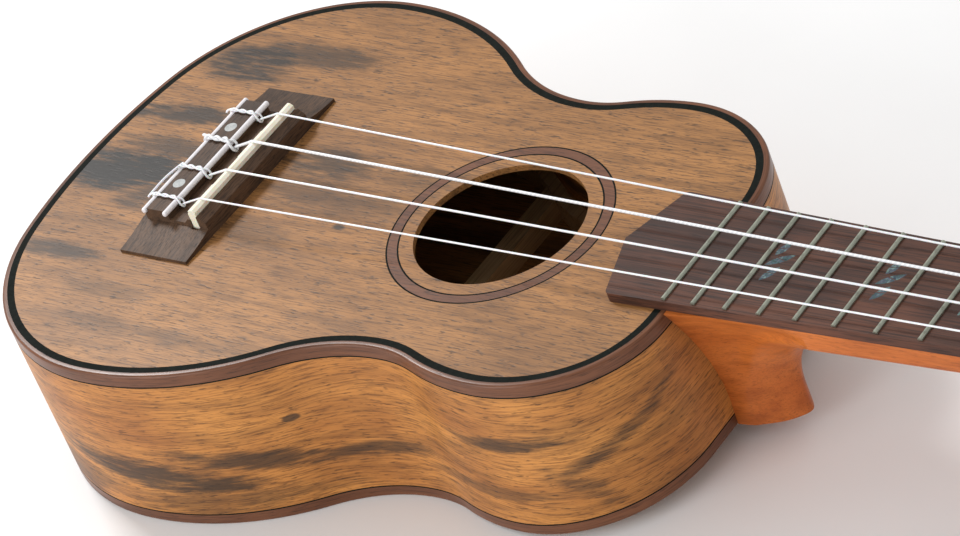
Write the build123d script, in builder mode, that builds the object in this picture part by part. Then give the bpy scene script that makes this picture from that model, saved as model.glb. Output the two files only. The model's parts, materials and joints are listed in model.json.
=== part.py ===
from build123d import *
from cmath import exp, phase
from math import acos, cos, pi, radians, sin, sqrt, tan
import os

# A soprano ukulele, lying on its back.  +X runs along the neck to the headstock, +Y to the bass
# side and +Z out of the soundboard.  The origin is on the outside of the back, under the middle
# of the body.  All sizes are millimetres.

# ---- driving dimensions: body ----
body_length = 246.8             # tail to neck joint, over the bindings
lower_bout_width = 185.1
waist_width = 118.2
upper_bout_width = 131.5
lower_bout_from_tail = 69.5
waist_from_neck = 82.0
upper_bout_from_neck = 44.4
neck_seat_width = 50.2          # straight across, where the neck is glued
outline_ratios = (0.353, 1.768, 0.49, 0.955)   # share of each pair of arcs, tail to neck
body_depth = 61.5
back_flat_end = 42.7            # the back is flat from the tail to here, then curves up
back_radius = 467.0

soundboard_thickness = 2.1
back_thickness = 2.2
side_thickness = 1.8            # the bindings are as wide as the sides are thick
top_binding_height = 4.35
back_binding_height = 3.8
binding_round = 0.8
line_thickness = 0.5
purfling_width = 2.4
lining_width = 4.5
lining_height = 9.0
end_graft_width = 8.0

hole_radius = 27.8
hole_from_fret_12 = 75.85
rosette_inner_radius = 32.65    # middle of the inner black line
rosette_outer_radius = 36.28    # middle of the outer black line
rosette_line_width = 0.55
rosette_depth = 0.9

neck_block_length = 30.0
neck_block_width = 46.0
tail_block_length = 13.0
tail_block_width = 44.0
brace_width = 7.0
brace_height = 8.0
fan_width = 5.0
fan_height = 6.0
fan_turn = 8.0                  # degrees, of the outer fan braces
fan_spread = 32.0               # of their starts, from the middle one
bridge_plate_thickness = 1.8
bridge_plate_margin = 6.0
back_strip_width = 12.0
back_strip_thickness = 1.5
back_braces_from_tail = (55.0, 125.0)
back_brace_from_neck = 62.0

# ---- driving dimensions: neck ----
scale_length = 345.0
frets_to_body = 12
fret_12_inset = 0.6             # from the neck end of the body
neck_width_at_body = 45.6
nut_width = 34.8
fretboard_thickness = 3.3
fretboard_past_body = 20.0      # corners of its pointed end, from fret 12
fretboard_point = 7.7
board_corner_radius = 2.0
fret_width = 1.5
fret_inset = 0.7                # from the fretboard's edges
tang_inset = 1.8                # blind slots: no tang shows at the edges
fret_crown = 0.95
tang_width = 0.55
tang_depth = 1.9
nut_length = 4.0
nut_height = 5.9                # over the neck's glue face
nut_round = 1.0
nut_slot_clearance = 0.08
neck_depth_at_nut = 12.9
heel_seat_width = 22.2          # of the heel's foot, at the body
heel_length = 19.8
heel_bend = 26.0                # radius of the curve from the heel up into the neck
neck_depth_at_heel = 18.2
neck_taper = 1.2                # of its depth, between the heel's curve and the nut
blend_length = 27.0             # over which the heel's swell dies away
foot_nose = (10.8, 17.0, 1.5)   # half width, length and fullness of the heel's rounded end
heel_sections = (               # lean, nose's half width, length and fullness, half width at body
    (160, 11.2, 16.0, 1.55, 13.6),
    (145, 13.0, 16.5, 1.65, 18.9),
    (125, 16.5, 17.0, 1.8, None),
    (107, 20.0, 17.8, 1.95, None),
)
heel_glue_line = 32.0           # under the soundboard's top
inlay_depth = 0.6
inlay_frets = (5, 7, 10)
inlay_width = 2.6
inlay_leaves = (                # along from mid-fret, across, length and lean in degrees
    (-2.5, -7.5, 7.5, 62),
    (-4.4, -1.0, 9.5, 38),
    (-3.4, 3.5, 6.5, 70),
)
side_dot_radius = 0.9
side_dot_depth = 1.2
dowel_radius = 4.0
dowel_in_neck = 11.0
dowel_in_block = 15.0
dowel_levels = (24.0, 47.0)      # over the back

head_tilt = 12.0                # degrees
head_length = 116.0
head_thickness = 11.0
head_end_width = 58.0
head_waist_width = 50.0
head_waist_from_nut = 45.0
head_swell = 1.2                # of each side, where it starts to widen again
head_swell_from_nut = 84.0
head_corner = 8.0               # from the end, where the crown's curve starts
head_over_neck = 0.8            # of each side, past the nut's end
head_overlap = 3.0              # drawn in front of the nut's outer face, then cut off
head_neck_run = 18.0            # where the headstock's plank is glued to the neck
faceplate_thickness = 1.6

# ---- driving dimensions: bridge and strings ----
compensation = 3.8
bridge_behind_saddle = 22.6
bridge_before_saddle = 5.0
bridge_width = 82.0
bridge_core_width = 55.0
wing_tip_height = 1.1
wing_root_height = 3.2
tie_block_height = 7.4
tie_block_length = 9.9
tie_block_inset = 2.1           # from the bridge's rear edge
channel_floor = 4.3
rear_shoulder = 5.9             # behind the saddle
saddle_thickness = 3.1
saddle_slot_floor = 2.2
saddle_shoulder = 7.3
facet_low = 5.4                 # front edge of the facet before the saddle
facet_shelf = 0.8               # flat, between the saddle and the facet
tie_strip_size = 1.9
tie_strip_overhang = 1.0
bridge_dot_radius = 2.1
bridge_dot_behind_saddle = 15.7
bridge_dot_depth = 1.2
saddle_end_gap = 0.4            # from the bridge core's ends
saddle_notch_edges = (-14.0, 0.0, 13.0)
saddle_notches = (0.35, 0.95, 0.35, 0.95)      # cut into its rear edge, treble to bass
saddle_notch_drop = 1.4
string_height_at_saddle = 9.98  # string axes over the soundboard
string_height_at_nut = 4.95
string_spread_at_saddle = 42.6
string_spread_at_nut = 28.3
string_diameters = {"string_a": 0.62, "string_e": 0.75, "string_c": 0.95, "string_g": 0.68}
string_hole_radius = 0.85
string_hole_height = 5.3
string_clearance = 0.03
string_bends = (1.2, 1.2, 3.0, 3.0, 3.0)

# ---- driving dimensions: tuners ----
post_rows = (42.0, 80.0)        # along the headstock, from the nut's outer face
post_sides = (16.5, 19.5)       # from its centre line
post_radius = 2.95
post_hole_clearance = 0.35
post_bore_clearance = 0.08
post_above_face = 12.0
post_string_height = 7.0
bushing_radius = 4.4
bushing_sleeve_radius = 3.8
bushing_length = 5.0
bushing_rim = 1.0
plate_thickness = 1.0
wheel_teeth = 14
worm_pitch = 1.8
worm_pitch_radius = 2.4
worm_tip_radius = 2.9
worm_core_radius = 1.8
worm_thread_length = 7.2
wheel_tip_over_pitch = 0.45
wheel_root_under_pitch = 0.65
wheel_thickness = 2.2
wheel_bore = 2.0
worm_shaft_radius = 1.2
lug_clearance = 0.08
lug_inner = 4.2                 # from the post's line to the lug's inner face
lug_thickness = 1.2
lug_radius = 2.2
gear_drop = 4.2                 # of the gears' middle plane, under the headstock's back
button_gap = 6.0                # between the headstock's side and the button
button_half_size = (8.0, 6.2, 2.9)
button_round = 2.0
button_neck_radius = 2.8
plate_length = 22.0
plate_width = 13.0
screw_places = (-6.2, 11.6)     # along the plate, from the post
screw_radius = 1.0
screw_length = 7.0
screw_head_radius = 1.9
screw_head_height = 1.0

# ---- worked out from them ----
neck_end = body_length / 2
tail_end = -body_length / 2
fret_12 = neck_end - fret_12_inset
top = body_depth
board_under = top - soundboard_thickness
hole_x = fret_12 - hole_from_fret_12
saddle_x = fret_12 - scale_length / 2 - compensation
nut_x = fret_12 + scale_length / 2
nut_back = nut_x + nut_length
board_top = top + fretboard_thickness
ring_ledge = side_thickness + purfling_width
post_waist = post_radius - 0.4
lining_inset = side_thickness + lining_width
reach = body_length             # longer than anything it has to pass through


def fret_x(number):
    """Place of a fret: each one shortens the string by the twelfth root of two."""
    return nut_x - scale_length * (1 - 2 ** (-number / 12))


def neck_half_width(x):
    """Half the fretboard's width, tapering evenly to the nut."""
    share = (x - fret_12) / (nut_x - fret_12)
    return (neck_width_at_body + (nut_width - neck_width_at_body) * share) / 2


# ---- the body's outline: pairs of arcs, as complex numbers x + iy ----
def biarc(start, start_heading, end, end_heading, ratio):
    """Two arcs that join two points, leaving and arriving along the given headings."""
    span = end - start
    turn = (start_heading * end_heading.conjugate()).real - 1
    pull = ratio * start_heading + end_heading
    a = 2 * ratio * turn
    b = -2 * (span * pull.conjugate()).real
    c = abs(span) ** 2
    second = -c / b if abs(a) < 1e-9 else (-b - sqrt(b * b - 4 * a * c)) / (2 * a)
    first = ratio * second
    corner_1 = start + first * start_heading
    corner_2 = end - second * end_heading
    joint = (second * corner_1 + first * corner_2) / (first + second)
    heading = (corner_2 - corner_1) / abs(corner_2 - corner_1)
    return (start, start_heading, joint), (joint, heading, end)


def inset_arc(start, heading, end, inset):
    """Start, middle and end of an arc moved square to itself, to the right of its heading."""
    half_turn = phase((end - start) / heading)
    radius = abs(end - start) / (2 * sin(half_turn))
    centre = start + 1j * heading * radius
    places = [centre - 1j * heading * exp(1j * half_turn * n) * (radius + inset) for n in range(3)]
    return [(place.real, place.imag) for place in places]


stations = (
    (complex(tail_end, 0), 1j),
    (complex(tail_end + lower_bout_from_tail, lower_bout_width / 2), 1 + 0j),
    (complex(neck_end - waist_from_neck, waist_width / 2), 1 + 0j),
    (complex(neck_end - upper_bout_from_neck, upper_bout_width / 2), 1 + 0j),
    (complex(neck_end, neck_seat_width / 2), -1j),
)


def plan(inset):
    """The body's outline as a face, moved inwards by an even distance."""
    with BuildSketch() as face:
        with BuildLine():
            for (here, go), (there, arrive), ratio in zip(stations, stations[1:], outline_ratios):
                for arc in biarc(here, go, there, arrive, ratio):
                    ThreePointArc(*inset_arc(*arc, inset))
            mirror(about=Plane.XZ)
            seat = (neck_end - inset, neck_seat_width / 2)
            Line(seat, (seat[0], -seat[1]))
        make_face()
    return face.sketch


def ring(outer, inner):
    """A band that follows the outline between two insets."""
    with BuildSketch() as face:
        add(plan(outer))
        add(plan(inner), mode=Mode.SUBTRACT)
    return face.sketch


# ---- the back's profile: flat, then an arc that rises to the neck ----
back_sweep = 0.2                # radians, past the neck end of the body


def back_line(height):
    """Points of the back's profile, at a height over its outside."""
    radius = back_radius - height
    arc = [(back_flat_end + radius * sin(a), back_radius - radius * cos(a))
           for a in (0, back_sweep / 2, back_sweep)]
    return (tail_end - 20, height), arc


def back_band(low, high=None):
    """Everything between two heights over the back, or from one height to the soundboard."""
    with BuildPart() as band:
        with BuildSketch(Plane.XZ):
            with BuildLine():
                start, arc = back_line(low)
                Line(start, arc[0])
                ThreePointArc(*arc)
                if high is None:
                    Polyline(arc[2], (arc[2][0], top), (start[0], top), start)
                else:
                    upper_start, upper = back_line(high)
                    Line(arc[2], upper[2])
                    ThreePointArc(*reversed(upper))
                    Polyline(upper[0], upper_start, start)
            make_face()
        extrude(amount=reach, both=True)
    return band.part


def finish(piece, name):
    piece.part.label = name
    export_step(piece.part, f"parts/{name}.step")


os.makedirs("parts", exist_ok=True)

# =================================================================== soundbox
with BuildPart() as neck_dowels:
    for level in dowel_levels:
        with BuildSketch(Plane.YZ.offset(neck_end + dowel_in_neck)):
            with Locations((0, level)):
                Circle(dowel_radius)
        extrude(amount=-(dowel_in_neck + side_thickness + dowel_in_block))

with BuildPart() as neck_block_form:
    with BuildSketch():
        with Locations((neck_end - side_thickness - neck_block_length / 2, 0)):
            Rectangle(neck_block_length, neck_block_width)
    extrude(amount=board_under)
    add(back_band(back_thickness), mode=Mode.INTERSECT)

with BuildPart() as neck_block:
    add(neck_block_form.part)
    add(neck_dowels.part, mode=Mode.SUBTRACT)

with BuildPart() as tail_block:
    with BuildSketch():
        add(plan(side_thickness))
        with Locations((tail_end + tail_block_length / 2, 0)):
            Rectangle(tail_block_length + 2 * side_thickness, tail_block_width, mode=Mode.INTERSECT)
    extrude(amount=board_under)
    add(back_band(back_thickness), mode=Mode.INTERSECT)

with BuildPart() as soundboard:
    with BuildSketch(Plane.XY.offset(board_under)):
        add(plan(ring_ledge))
    extrude(amount=soundboard_thickness)
    with Locations((hole_x, 0, top)):
        Hole(hole_radius)
    with BuildSketch(Plane.XY.offset(top)):
        with Locations((hole_x, 0)):
            Circle(rosette_outer_radius + rosette_line_width / 2)
            Circle(rosette_inner_radius - rosette_line_width / 2, mode=Mode.SUBTRACT)
    extrude(amount=-rosette_depth, mode=Mode.SUBTRACT)

with BuildPart() as rosette_ring:
    with BuildSketch(Plane.XY.offset(top)):
        with Locations((hole_x, 0)):
            Circle(rosette_outer_radius - rosette_line_width / 2)
            Circle(rosette_inner_radius + rosette_line_width / 2, mode=Mode.SUBTRACT)
    extrude(amount=-rosette_depth)

with BuildPart() as rosette_lines:
    for radius in (rosette_inner_radius, rosette_outer_radius):
        with BuildSketch(Plane.XY.offset(top)):
            with Locations((hole_x, 0)):
                Circle(radius + rosette_line_width / 2)
                Circle(radius - rosette_line_width / 2, mode=Mode.SUBTRACT)
        extrude(amount=-rosette_depth)

with BuildPart() as top_purfling:
    with BuildSketch(Plane.XY.offset(board_under)):
        add(ring(side_thickness, ring_ledge))
    extrude(amount=soundboard_thickness)

with BuildPart() as top_binding:
    with BuildSketch(Plane.XY.offset(top - top_binding_height)):
        add(ring(0, side_thickness))
    extrude(amount=top_binding_height)
    rim = top_binding.faces().sort_by(Axis.Z)[-1].outer_wire().edges()
    fillet(rim.filter_by(GeomType.CIRCLE), radius=binding_round)

side_top = top - top_binding_height - line_thickness
side_low = back_binding_height + line_thickness

with BuildPart() as top_side_line:
    with BuildSketch(Plane.XY.offset(side_top)):
        add(ring(0, side_thickness))
    extrude(amount=line_thickness)

with BuildPart() as end_graft:
    with BuildSketch():
        add(ring(0, side_thickness))
        with Locations((tail_end, 0)):
            Rectangle(tail_block_length, end_graft_width, mode=Mode.INTERSECT)
    extrude(amount=side_top)
    add(back_band(side_low), mode=Mode.INTERSECT)


def side(keep):
    """One side's bent board, from the end graft round to the middle of the neck joint."""
    with BuildPart() as board:
        with BuildSketch():
            add(ring(0, side_thickness))
        extrude(amount=side_top)
        add(back_band(side_low), mode=Mode.INTERSECT)
        with BuildSketch():
            with Locations((tail_end, 0)):
                Rectangle(tail_block_length, end_graft_width)
        extrude(amount=top, mode=Mode.SUBTRACT)
        add(neck_dowels.part, mode=Mode.SUBTRACT)
        split(bisect_by=Plane.XZ, keep=keep)
    return board


side_treble = side(Keep.TOP)
side_bass = side(Keep.BOTTOM)

with BuildPart() as back_side_line:
    with BuildSketch():
        add(ring(0, side_thickness))
    extrude(amount=top)
    add(back_band(back_binding_height, side_low), mode=Mode.INTERSECT)

with BuildPart() as back_binding:
    with BuildSketch():
        add(ring(0, side_thickness))
    extrude(amount=top)
    add(back_band(0, back_binding_height), mode=Mode.INTERSECT)

with BuildPart() as back:
    with BuildSketch():
        add(plan(side_thickness))
    extrude(amount=top)
    add(back_band(0, back_thickness), mode=Mode.INTERSECT)

with BuildPart() as top_lining:
    with BuildSketch(Plane.XY.offset(board_under - lining_height)):
        add(ring(side_thickness, lining_inset))
    extrude(amount=lining_height)
    add(neck_block_form.part, mode=Mode.SUBTRACT)
    add(tail_block.part, mode=Mode.SUBTRACT)

with BuildPart() as back_lining:
    with BuildSketch():
        add(ring(side_thickness, lining_inset))
    extrude(amount=top)
    add(back_band(back_thickness, back_thickness + lining_height), mode=Mode.INTERSECT)
    add(neck_block_form.part, mode=Mode.SUBTRACT)
    add(tail_block.part, mode=Mode.SUBTRACT)

brace_offset = rosette_outer_radius + brace_width

with BuildPart() as cross_braces:
    with BuildSketch(Plane.XY.offset(board_under - brace_height)):
        with Locations((hole_x - brace_offset, 0), (hole_x + brace_offset - brace_width, 0)):
            Rectangle(brace_width, reach)
        add(plan(lining_inset), mode=Mode.INTERSECT)
    extrude(amount=brace_height)

with BuildPart() as bridge_plate:
    with BuildSketch(Plane.XY.offset(board_under - bridge_plate_thickness)):
        with Locations((saddle_x - bridge_behind_saddle / 2, 0)):
            Rectangle(bridge_behind_saddle, bridge_width)
        offset(amount=bridge_plate_margin, kind=Kind.INTERSECTION)
    extrude(amount=bridge_plate_thickness)

fan_start = hole_x - brace_offset - brace_width / 2

with BuildPart() as fan_braces:
    with BuildSketch(Plane.XY.offset(board_under - fan_height)):
        for step in (-1, 0, 1):
            with Locations(Location((fan_start, step * fan_spread, 0), -step * fan_turn)):
                Rectangle(2 * reach, fan_width)
        with Locations((fan_start, 0)):
            Rectangle(2 * reach, reach, align=(Align.MAX, Align.CENTER), mode=Mode.INTERSECT)
        add(plan(lining_inset), mode=Mode.INTERSECT)
    extrude(amount=fan_height)
    add(tail_block.part, mode=Mode.SUBTRACT)
    add(bridge_plate.part, mode=Mode.SUBTRACT)

back_brace_places = [tail_end + along for along in back_braces_from_tail]
back_brace_places.append(neck_end - back_brace_from_neck)

with BuildPart() as back_braces:
    with BuildSketch():
        with Locations(*[(x, 0) for x in back_brace_places]):
            Rectangle(brace_width, reach)
        add(plan(lining_inset), mode=Mode.INTERSECT)
    extrude(amount=top)
    add(back_band(back_thickness, back_thickness + brace_height), mode=Mode.INTERSECT)

with BuildPart() as back_strip:
    with BuildSketch():
        Rectangle(body_length, back_strip_width)
        add(plan(side_thickness), mode=Mode.INTERSECT)
    extrude(amount=top)
    add(back_band(back_thickness, back_thickness + back_strip_thickness), mode=Mode.INTERSECT)
    for other in (neck_block, tail_block, back_braces):
        add(other.part, mode=Mode.SUBTRACT)


# =================================================================== neck
bend_x = neck_end + heel_length + heel_bend
bend_z = top - neck_depth_at_heel - heel_bend
heel_foot = back_radius - sqrt(back_radius ** 2 - (neck_end - back_flat_end) ** 2)
leg_spare = 8.0                 # drawn past the cut faces, then cut off


def neck_depth(x):
    """Depth of the neck: an even taper, and a swell that dies away from the heel."""
    share = (nut_x - x) / (nut_x - bend_x)
    swell = neck_depth_at_heel - neck_depth_at_nut - neck_taper
    return neck_depth_at_nut + neck_taper * share + swell * exp((bend_x - x) / blend_length).real


def rounded(half_width, length, fullness=2.0):
    """Half of a rounded end: from its side to its nose at 0, 0, through a superellipse."""
    power = 2 / fullness
    turns = [radians(angle) for angle in (90, 66, 45, 24, 0)]
    return [(half_width * sin(t) ** power, length * (1 - max(cos(t), 0) ** power)) for t in turns]


def neck_section(plane, nose, leg_end=None, spare=leg_spare):
    """A closed section: a rounded nose, and two legs that run on past the cut face."""
    corner = Vector(*nose[0])
    lean = Vector(0, 1) if leg_end is None else (Vector(*leg_end) - corner).normalized()
    far = (corner if leg_end is None else Vector(*leg_end)) + lean * spare
    other_side = [(-x, y) for x, y in reversed(nose[:-1])]
    with BuildSketch(plane) as section:
        with BuildLine():
            Spline(nose + other_side, tangents=((-lean.X, -lean.Y), (-lean.X, lean.Y)))
            Polyline((-corner.X, corner.Y), (-far.X, far.Y), (far.X, far.Y), (corner.X, corner.Y))
        make_face()
    return section.sketch


def heel_plane(angle):
    """Plane of a section that leans round the heel's curve: 90 across the neck, 180 level."""
    out = (cos(radians(angle)), sin(radians(angle)))
    nose = (bend_x + heel_bend * out[0], 0, bend_z + heel_bend * out[1])
    return Plane(origin=nose, x_dir=(0, 1, 0), z_dir=(out[1], 0, -out[0]))


def heel_leg(angle, seat_half_width):
    """Where the leg of a leaning section meets the body, or the fretboard."""
    lean = radians(angle)
    to_body = (bend_x - neck_end) / max(-cos(lean), 1e-6)
    to_board = (top - bend_z) / max(sin(lean), 1e-6)
    if to_body < to_board:
        return (seat_half_width, to_body - heel_bend)
    return (neck_half_width(bend_x + to_board * cos(lean)), to_board - heel_bend)


def shaft_section(x):
    """A section straight across the neck."""
    across = Plane(origin=(x, 0, top - neck_depth(x)), x_dir=(0, 1, 0), z_dir=(1, 0, 0))
    return neck_section(across, rounded(neck_half_width(x), neck_depth(x)))


shaft_steps = 6
seat = heel_seat_width / 2
foot_sink = 3.0                 # drawn below the foot, then cut off

with BuildPart() as neck_form:
    foot_leg = (seat, heel_length)
    for level in (heel_foot - foot_sink, bend_z):
        foot = Plane(origin=(neck_end + heel_length, 0, level), x_dir=(0, 1, 0), z_dir=(0, 0, 1))
        add(neck_section(foot, rounded(*foot_nose), foot_leg))
    for lean, half, length, fullness, at_body in heel_sections:
        add(neck_section(heel_plane(lean), rounded(half, length, fullness), heel_leg(lean, at_body)))
    add(shaft_section(bend_x))
    loft()
    for step in range(shaft_steps + 1):
        add(shaft_section(bend_x + (nut_back - bend_x) * step / shaft_steps))
    loft()
    split(bisect_by=Plane.XY.offset(top), keep=Keep.BOTTOM)
    split(bisect_by=Plane.XY.offset(heel_foot), keep=Keep.TOP)
    split(bisect_by=Plane.YZ.offset(neck_end), keep=Keep.TOP)

glue_plane = Plane.XY.offset(top - heel_glue_line)

with BuildPart() as heel_block:
    add(neck_form.part)
    split(bisect_by=glue_plane, keep=Keep.BOTTOM)
    add(neck_dowels.part, mode=Mode.SUBTRACT)

# ---- headstock: a plank glued on at an angle, with a rosewood face ----
tilt = radians(head_tilt)
head_along = (cos(tilt), 0, -sin(tilt))
head_up = (sin(tilt), 0, cos(tilt))
head = Plane(origin=(nut_back, 0, top), x_dir=head_along, z_dir=head_up)
head_back = head.offset(-head_thickness)
head_joint_width = nut_width + 2 * head_over_neck


def head_place(along, across, height):
    """A point in the headstock's own frame, from its upper edge behind the nut."""
    return head.from_local_coords((along, across, height))


with BuildPart() as scarf_form:
    scarf_low = head_place(head_neck_run, 0, -head_thickness)
    scarf = Plane(origin=scarf_low, x_dir=(0, 1, 0), z_dir=head.x_dir)
    add(shaft_section(nut_back))
    add(neck_section(scarf, rounded(head_joint_width / 2, head_thickness, 6)))
    loft()
    split(bisect_by=head, keep=Keep.BOTTOM)

with BuildPart() as neck_shaft:
    add(neck_form.part)
    split(bisect_by=glue_plane, keep=Keep.TOP)
    add(neck_dowels.part, mode=Mode.SUBTRACT)
    add(scarf_form.part)

with BuildSketch() as head_outline:
    with BuildLine():
        half_joint = head_joint_width / 2
        edge = Spline(
            (-head_overlap, half_joint - head_over_neck - 0.1),
            (head_neck_run, half_joint),
            (head_waist_from_nut, head_waist_width / 2),
            (head_swell_from_nut, head_waist_width / 2 + head_swell),
            (head_length - head_corner, head_end_width / 2),
        )
        ThreePointArc(edge @ 1, (head_length, 0), (head_length - head_corner, -head_end_width / 2))
        mirror(edge, about=Plane.XZ)
        start = edge @ 0
        Line(start, (start.X, -start.Y))
    make_face()

tuner_places = [
    (row, turn * out, turn) for row, out in zip(post_rows, post_sides) for turn in (-1, 1)
]
tuner_names = ("a", "g", "e", "c")      # treble and bass outer strings, then the inner ones
post_hole = post_radius + post_hole_clearance


def pegs(radius, plane, depth, shifts=(0,)):
    """Cylinders at each tuner, as many as there are shifts along the headstock from its post."""
    with BuildPart() as cylinders:
        with BuildSketch(plane):
            for along, across, _ in tuner_places:
                with Locations(*[(along + shift, across) for shift in shifts]):
                    Circle(radius)
        extrude(amount=depth)
    return cylinders.part


sleeve_floor = head.offset(faceplate_thickness - bushing_length)
post_holes = pegs(post_hole, head_back, head_thickness)
screw_holes = pegs(screw_radius, head_back, screw_length, screw_places)
sleeve_holes = pegs(bushing_sleeve_radius, sleeve_floor, bushing_length)

with BuildPart() as headstock:
    with BuildSketch(head_back):
        add(head_outline.sketch)
    extrude(amount=head_thickness)
    split(bisect_by=Plane(origin=head_place(head_neck_run, 0, 0), z_dir=head.x_dir), keep=Keep.TOP)
    for holes in (post_holes, screw_holes, sleeve_holes):
        add(holes, mode=Mode.SUBTRACT)

with BuildPart() as faceplate:
    with BuildSketch(head):
        add(head_outline.sketch)
    extrude(amount=faceplate_thickness)
    split(bisect_by=Plane.YZ.offset(nut_back), keep=Keep.TOP)
    add(sleeve_holes, mode=Mode.SUBTRACT)

# ---- fretboard, frets, nut and inlays ----
board_end = fret_12 - fretboard_past_body


def leaf(length, width, lean):
    """A pointed leaf, in two shards with a fine gap between them."""
    with BuildSketch() as shards:
        with BuildLine(Plane.XY.rotated((0, 0, lean))):
            ThreePointArc((0, 0), (length / 2, width / 2), (length, 0))
            ThreePointArc((length, 0), (length / 2, -width / 2), (0, 0))
        make_face()
        with Locations(Location((0, 0, 0), lean)):
            with Locations((length * 0.55, 0)):
                Rectangle(0.3, width * 2, rotation=35, mode=Mode.SUBTRACT)
    return shards.sketch


with BuildSketch() as inlay_plan:
    for number in inlay_frets:
        middle = (fret_x(number) + fret_x(number - 1)) / 2
        for shift, across, length, lean in inlay_leaves:
            with Locations((middle + shift, across)):
                add(leaf(length, inlay_width, lean))

with BuildPart() as inlays:
    with BuildSketch(Plane.XY.offset(board_top)):
        add(inlay_plan.sketch)
    extrude(amount=-inlay_depth)

with BuildPart() as side_dots:
    for number in inlay_frets:
        x = (fret_x(number) + fret_x(number - 1)) / 2
        with BuildSketch(Plane.XZ.offset(side_dot_depth - neck_half_width(x))):
            with Locations((x, top + fretboard_thickness / 2)):
                Circle(side_dot_radius)
        extrude(amount=-side_dot_depth)

with BuildPart() as frets:
    for number in range(1, frets_to_body + 1):
        x = fret_x(number)
        with BuildSketch(Plane.XZ):
            with BuildLine():
                foot_1 = (x - fret_width / 2, board_top)
                foot_2 = (x + fret_width / 2, board_top)
                ThreePointArc(foot_1, (x, board_top + fret_crown), foot_2)
                Line(foot_2, foot_1)
            make_face()
        extrude(amount=neck_half_width(x) - fret_inset, both=True)
        with BuildSketch(Plane.XZ):
            with Locations((x, board_top)):
                Rectangle(tang_width, tang_depth, align=(Align.CENTER, Align.MAX))
        extrude(amount=neck_half_width(x) - tang_inset, both=True)

with BuildPart() as fretboard:
    with BuildSketch(Plane.XY.offset(top)):
        with BuildLine():
            end_half = neck_half_width(board_end)
            nut_half = neck_half_width(nut_x)
            Polyline((board_end - fretboard_point, 0), (board_end, end_half), (nut_x, nut_half),
                     (nut_x, -nut_half), (board_end, -end_half), (board_end - fretboard_point, 0))
        make_face()
        corners = vertices().filter_by_position(Axis.X, board_end - 0.1, board_end + 0.1)
        fillet(corners, radius=board_corner_radius)
    extrude(amount=fretboard_thickness)
    for number in range(1, frets_to_body + 1):
        with BuildSketch(Plane.XY.offset(board_top)):
            with Locations((fret_x(number), 0)):
                Rectangle(tang_width, 2 * (neck_half_width(fret_x(number)) - tang_inset))
        extrude(amount=-tang_depth, mode=Mode.SUBTRACT)
    add(inlays.part, mode=Mode.SUBTRACT)
    add(side_dots.part, mode=Mode.SUBTRACT)

# ---- strings' places, from treble to bass ----
string_names = tuple(string_diameters)


def spread(width, index):
    """Place across the neck of a string: the axes are evenly spread over a width."""
    return -width / 2 + width * index / (len(string_names) - 1)


def string_z(x):
    """Height of the string axes between the saddle and the nut."""
    share = (x - saddle_x) / (nut_x - saddle_x)
    return top + string_height_at_saddle + (string_height_at_nut - string_height_at_saddle) * share


with BuildPart() as nut:
    with BuildSketch(Plane.XZ):
        with Locations((nut_x, top)):
            Rectangle(nut_length, nut_height, align=(Align.MIN, Align.MIN))
    extrude(amount=neck_half_width(nut_x), both=True)
    fillet(nut.edges().filter_by(Axis.Y).group_by(Axis.Z)[-1], radius=nut_round)
    for index, name in enumerate(string_names):
        radius = string_diameters[name] / 2 + nut_slot_clearance
        with BuildSketch(Plane.YZ.offset(nut_x)):
            with Locations((spread(string_spread_at_nut, index), top + string_height_at_nut)):
                Circle(radius)
                Rectangle(2 * radius, nut_height, align=(Align.CENTER, Align.MIN))
        extrude(amount=nut_length, mode=Mode.SUBTRACT)

# =================================================================== bridge
bridge_rear = saddle_x - bridge_behind_saddle
bridge_front = saddle_x + bridge_before_saddle
tie_rear = bridge_rear + tie_block_inset
tie_front = tie_rear + tie_block_length
tie_top = top + tie_block_height
core_half = bridge_core_width / 2
slot = (saddle_x - saddle_thickness / 2, saddle_x + saddle_thickness / 2)
dot_x = saddle_x - bridge_dot_behind_saddle
dot_y = string_spread_at_saddle / 3     # between an outer string and the one inside it
dot_places = [(dot_x, -dot_y), (dot_x, dot_y)]

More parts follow.
